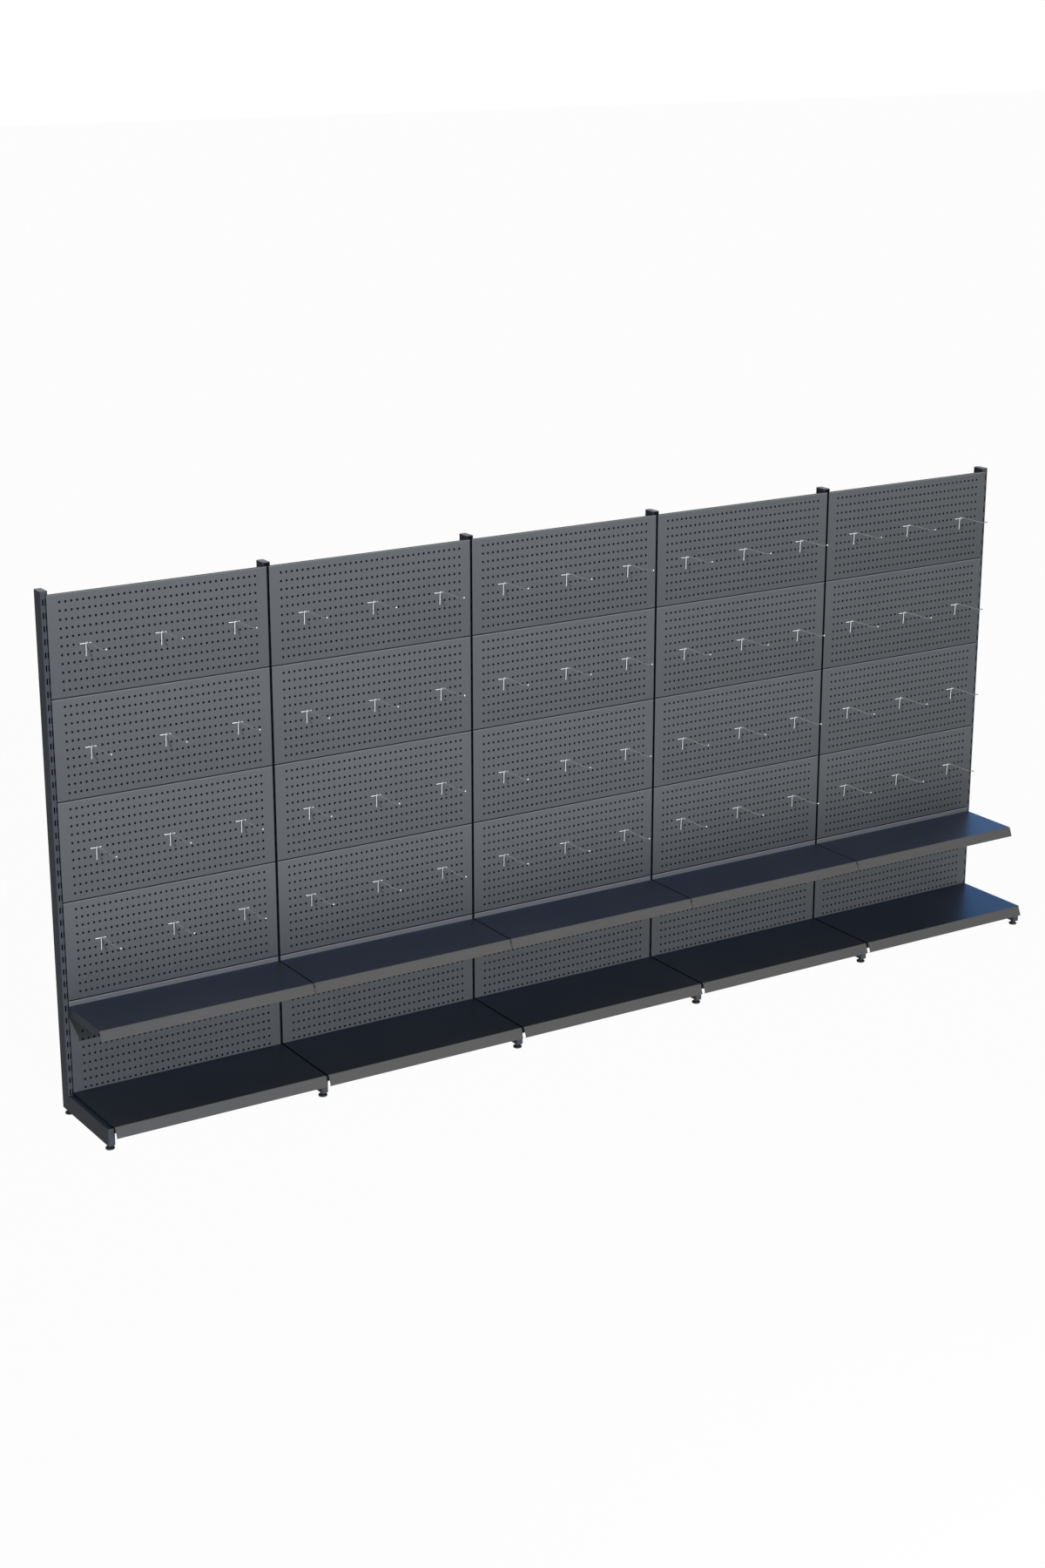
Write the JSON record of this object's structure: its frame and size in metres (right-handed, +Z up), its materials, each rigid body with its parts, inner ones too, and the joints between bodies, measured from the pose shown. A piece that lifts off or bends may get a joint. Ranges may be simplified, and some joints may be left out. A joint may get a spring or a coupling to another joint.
{
  "type": "gondola shelving unit",
  "caption": "Single-sided gondola shelving run: slotted uprights on base legs, perforated back panels, base decks, a line of bracket-hung shelves and wire display hooks.",
  "frame": {"origin": "middle of the footprint's bounding box, on the floor", "axes": "+X along the run to the right of someone facing the shelves, -Y towards that person, +Z up"},
  "size_m": [4.606, 0.469, 2.0935],
  "materials": {
    "frame_coat": "graphite powder coat, semi-gloss",
    "panel_coat": "graphite powder coat, fine texture",
    "shelf_coat": "dark blue-grey powder coat, satin",
    "rail_coat": "graphite powder coat",
    "cap_plastic": "moulded end cap, dark blue",
    "foot_plastic": "black moulded pad and nut",
    "hook_zinc": "bright zinc wire",
    "fastener_zinc": "zinc plated"
  },
  "bodies": {
    "frame": {"upright_1": "frame_coat", "base_leg_1": "frame_coat", "upright_2": "frame_coat", "base_leg_2": "frame_coat", "upright_3": "frame_coat", "base_leg_3": "frame_coat", "upright_4": "frame_coat", "base_leg_4": "frame_coat", "upright_5": "frame_coat", "base_leg_5": "frame_coat", "upright_6": "frame_coat", "base_leg_6": "frame_coat", "upright_caps": "cap_plastic", "leg_bolts": "fastener_zinc", "upper_tie_rails": "rail_coat", "lower_tie_rails": "rail_coat", "rail_screws": "fastener_zinc", "upper_back_panels_1": "panel_coat", "lower_back_panels_1": "panel_coat", "shelf_brackets_1": "frame_coat", "upper_back_panels_2": "panel_coat", "lower_back_panels_2": "panel_coat", "shelf_brackets_2": "frame_coat", "upper_back_panels_3": "panel_coat", "lower_back_panels_3": "panel_coat", "shelf_brackets_3": "frame_coat", "upper_back_panels_4": "panel_coat", "lower_back_panels_4": "panel_coat", "shelf_brackets_4": "frame_coat", "upper_back_panels_5": "panel_coat", "lower_back_panels_5": "panel_coat", "shelf_brackets_5": "frame_coat"},
    "front_foot_1": {"front_foot_1": "foot_plastic"},
    "rear_foot_1": {"rear_foot_1": "foot_plastic"},
    "front_foot_2": {"front_foot_2": "foot_plastic"},
    "rear_foot_2": {"rear_foot_2": "foot_plastic"},
    "front_foot_3": {"front_foot_3": "foot_plastic"},
    "rear_foot_3": {"rear_foot_3": "foot_plastic"},
    "front_foot_4": {"front_foot_4": "foot_plastic"},
    "rear_foot_4": {"rear_foot_4": "foot_plastic"},
    "front_foot_5": {"front_foot_5": "foot_plastic"},
    "rear_foot_5": {"rear_foot_5": "foot_plastic"},
    "front_foot_6": {"front_foot_6": "foot_plastic"},
    "rear_foot_6": {"rear_foot_6": "foot_plastic"},
    "base_deck_1": {"base_deck_1": "shelf_coat"},
    "base_deck_2": {"base_deck_2": "shelf_coat"},
    "base_deck_3": {"base_deck_3": "shelf_coat"},
    "base_deck_4": {"base_deck_4": "shelf_coat"},
    "base_deck_5": {"base_deck_5": "shelf_coat"},
    "shelf_1": {"shelf_1": "shelf_coat"},
    "shelf_2": {"shelf_2": "shelf_coat"},
    "shelf_3": {"shelf_3": "shelf_coat"},
    "shelf_4": {"shelf_4": "shelf_coat"},
    "shelf_5": {"shelf_5": "shelf_coat"},
    "hook_line_1": {"hook_line_1": "hook_zinc"},
    "hook_line_2": {"hook_line_2": "hook_zinc"},
    "hook_line_3": {"hook_line_3": "hook_zinc"},
    "hook_line_4": {"hook_line_4": "hook_zinc"}
  },
  "joints": [
    {"name": "front_foot_1_screw", "type": "slide", "parent": "frame", "child": "front_foot_1", "axis": [0, 0, -1], "range_m": [0, 0.015]},
    {"name": "rear_foot_1_screw", "type": "slide", "parent": "frame", "child": "rear_foot_1", "axis": [0, 0, -1], "range_m": [0, 0.015]},
    {"name": "front_foot_2_screw", "type": "slide", "parent": "frame", "child": "front_foot_2", "axis": [0, 0, -1], "range_m": [0, 0.015]},
    {"name": "rear_foot_2_screw", "type": "slide", "parent": "frame", "child": "rear_foot_2", "axis": [0, 0, -1], "range_m": [0, 0.015]},
    {"name": "front_foot_3_screw", "type": "slide", "parent": "frame", "child": "front_foot_3", "axis": [0, 0, -1], "range_m": [0, 0.015]},
    {"name": "rear_foot_3_screw", "type": "slide", "parent": "frame", "child": "rear_foot_3", "axis": [0, 0, -1], "range_m": [0, 0.015]},
    {"name": "front_foot_4_screw", "type": "slide", "parent": "frame", "child": "front_foot_4", "axis": [0, 0, -1], "range_m": [0, 0.015]},
    {"name": "rear_foot_4_screw", "type": "slide", "parent": "frame", "child": "rear_foot_4", "axis": [0, 0, -1], "range_m": [0, 0.015]},
    {"name": "front_foot_5_screw", "type": "slide", "parent": "frame", "child": "front_foot_5", "axis": [0, 0, -1], "range_m": [0, 0.015]},
    {"name": "rear_foot_5_screw", "type": "slide", "parent": "frame", "child": "rear_foot_5", "axis": [0, 0, -1], "range_m": [0, 0.015]},
    {"name": "front_foot_6_screw", "type": "slide", "parent": "frame", "child": "front_foot_6", "axis": [0, 0, -1], "range_m": [0, 0.015]},
    {"name": "rear_foot_6_screw", "type": "slide", "parent": "frame", "child": "rear_foot_6", "axis": [0, 0, -1], "range_m": [0, 0.015]},
    {"name": "base_deck_1_lift", "type": "slide", "parent": "frame", "child": "base_deck_1", "axis": [0, 0, 1], "range_m": [0, 0.15]},
    {"name": "base_deck_2_lift", "type": "slide", "parent": "frame", "child": "base_deck_2", "axis": [0, 0, 1], "range_m": [0, 0.15]},
    {"name": "base_deck_3_lift", "type": "slide", "parent": "frame", "child": "base_deck_3", "axis": [0, 0, 1], "range_m": [0, 0.15]},
    {"name": "base_deck_4_lift", "type": "slide", "parent": "frame", "child": "base_deck_4", "axis": [0, 0, 1], "range_m": [0, 0.15]},
    {"name": "base_deck_5_lift", "type": "slide", "parent": "frame", "child": "base_deck_5", "axis": [0, 0, 1], "range_m": [0, 0.15]},
    {"name": "shelf_1_lift", "type": "slide", "parent": "frame", "child": "shelf_1", "axis": [0, 0, 1], "range_m": [0, 0.15]},
    {"name": "shelf_2_lift", "type": "slide", "parent": "frame", "child": "shelf_2", "axis": [0, 0, 1], "range_m": [0, 0.15]},
    {"name": "shelf_3_lift", "type": "slide", "parent": "frame", "child": "shelf_3", "axis": [0, 0, 1], "range_m": [0, 0.15]},
    {"name": "shelf_4_lift", "type": "slide", "parent": "frame", "child": "shelf_4", "axis": [0, 0, 1], "range_m": [0, 0.15]},
    {"name": "shelf_5_lift", "type": "slide", "parent": "frame", "child": "shelf_5", "axis": [0, 0, 1], "range_m": [0, 0.15]},
    {"name": "hook_line_1_tilt", "type": "hinge", "parent": "frame", "child": "hook_line_1", "pos_m": [0, 0.16417, 1.88], "axis": [-1, 0, 0], "range_deg": [0, 20]},
    {"name": "hook_line_2_tilt", "type": "hinge", "parent": "frame", "child": "hook_line_2", "pos_m": [0, 0.16417, 1.48], "axis": [-1, 0, 0], "range_deg": [0, 20]},
    {"name": "hook_line_3_tilt", "type": "hinge", "parent": "frame", "child": "hook_line_3", "pos_m": [0, 0.16417, 1.08], "axis": [-1, 0, 0], "range_deg": [0, 20]},
    {"name": "hook_line_4_tilt", "type": "hinge", "parent": "frame", "child": "hook_line_4", "pos_m": [0, 0.16417, 0.7136], "axis": [-1, 0, 0], "range_deg": [0, 20]}
  ]
}
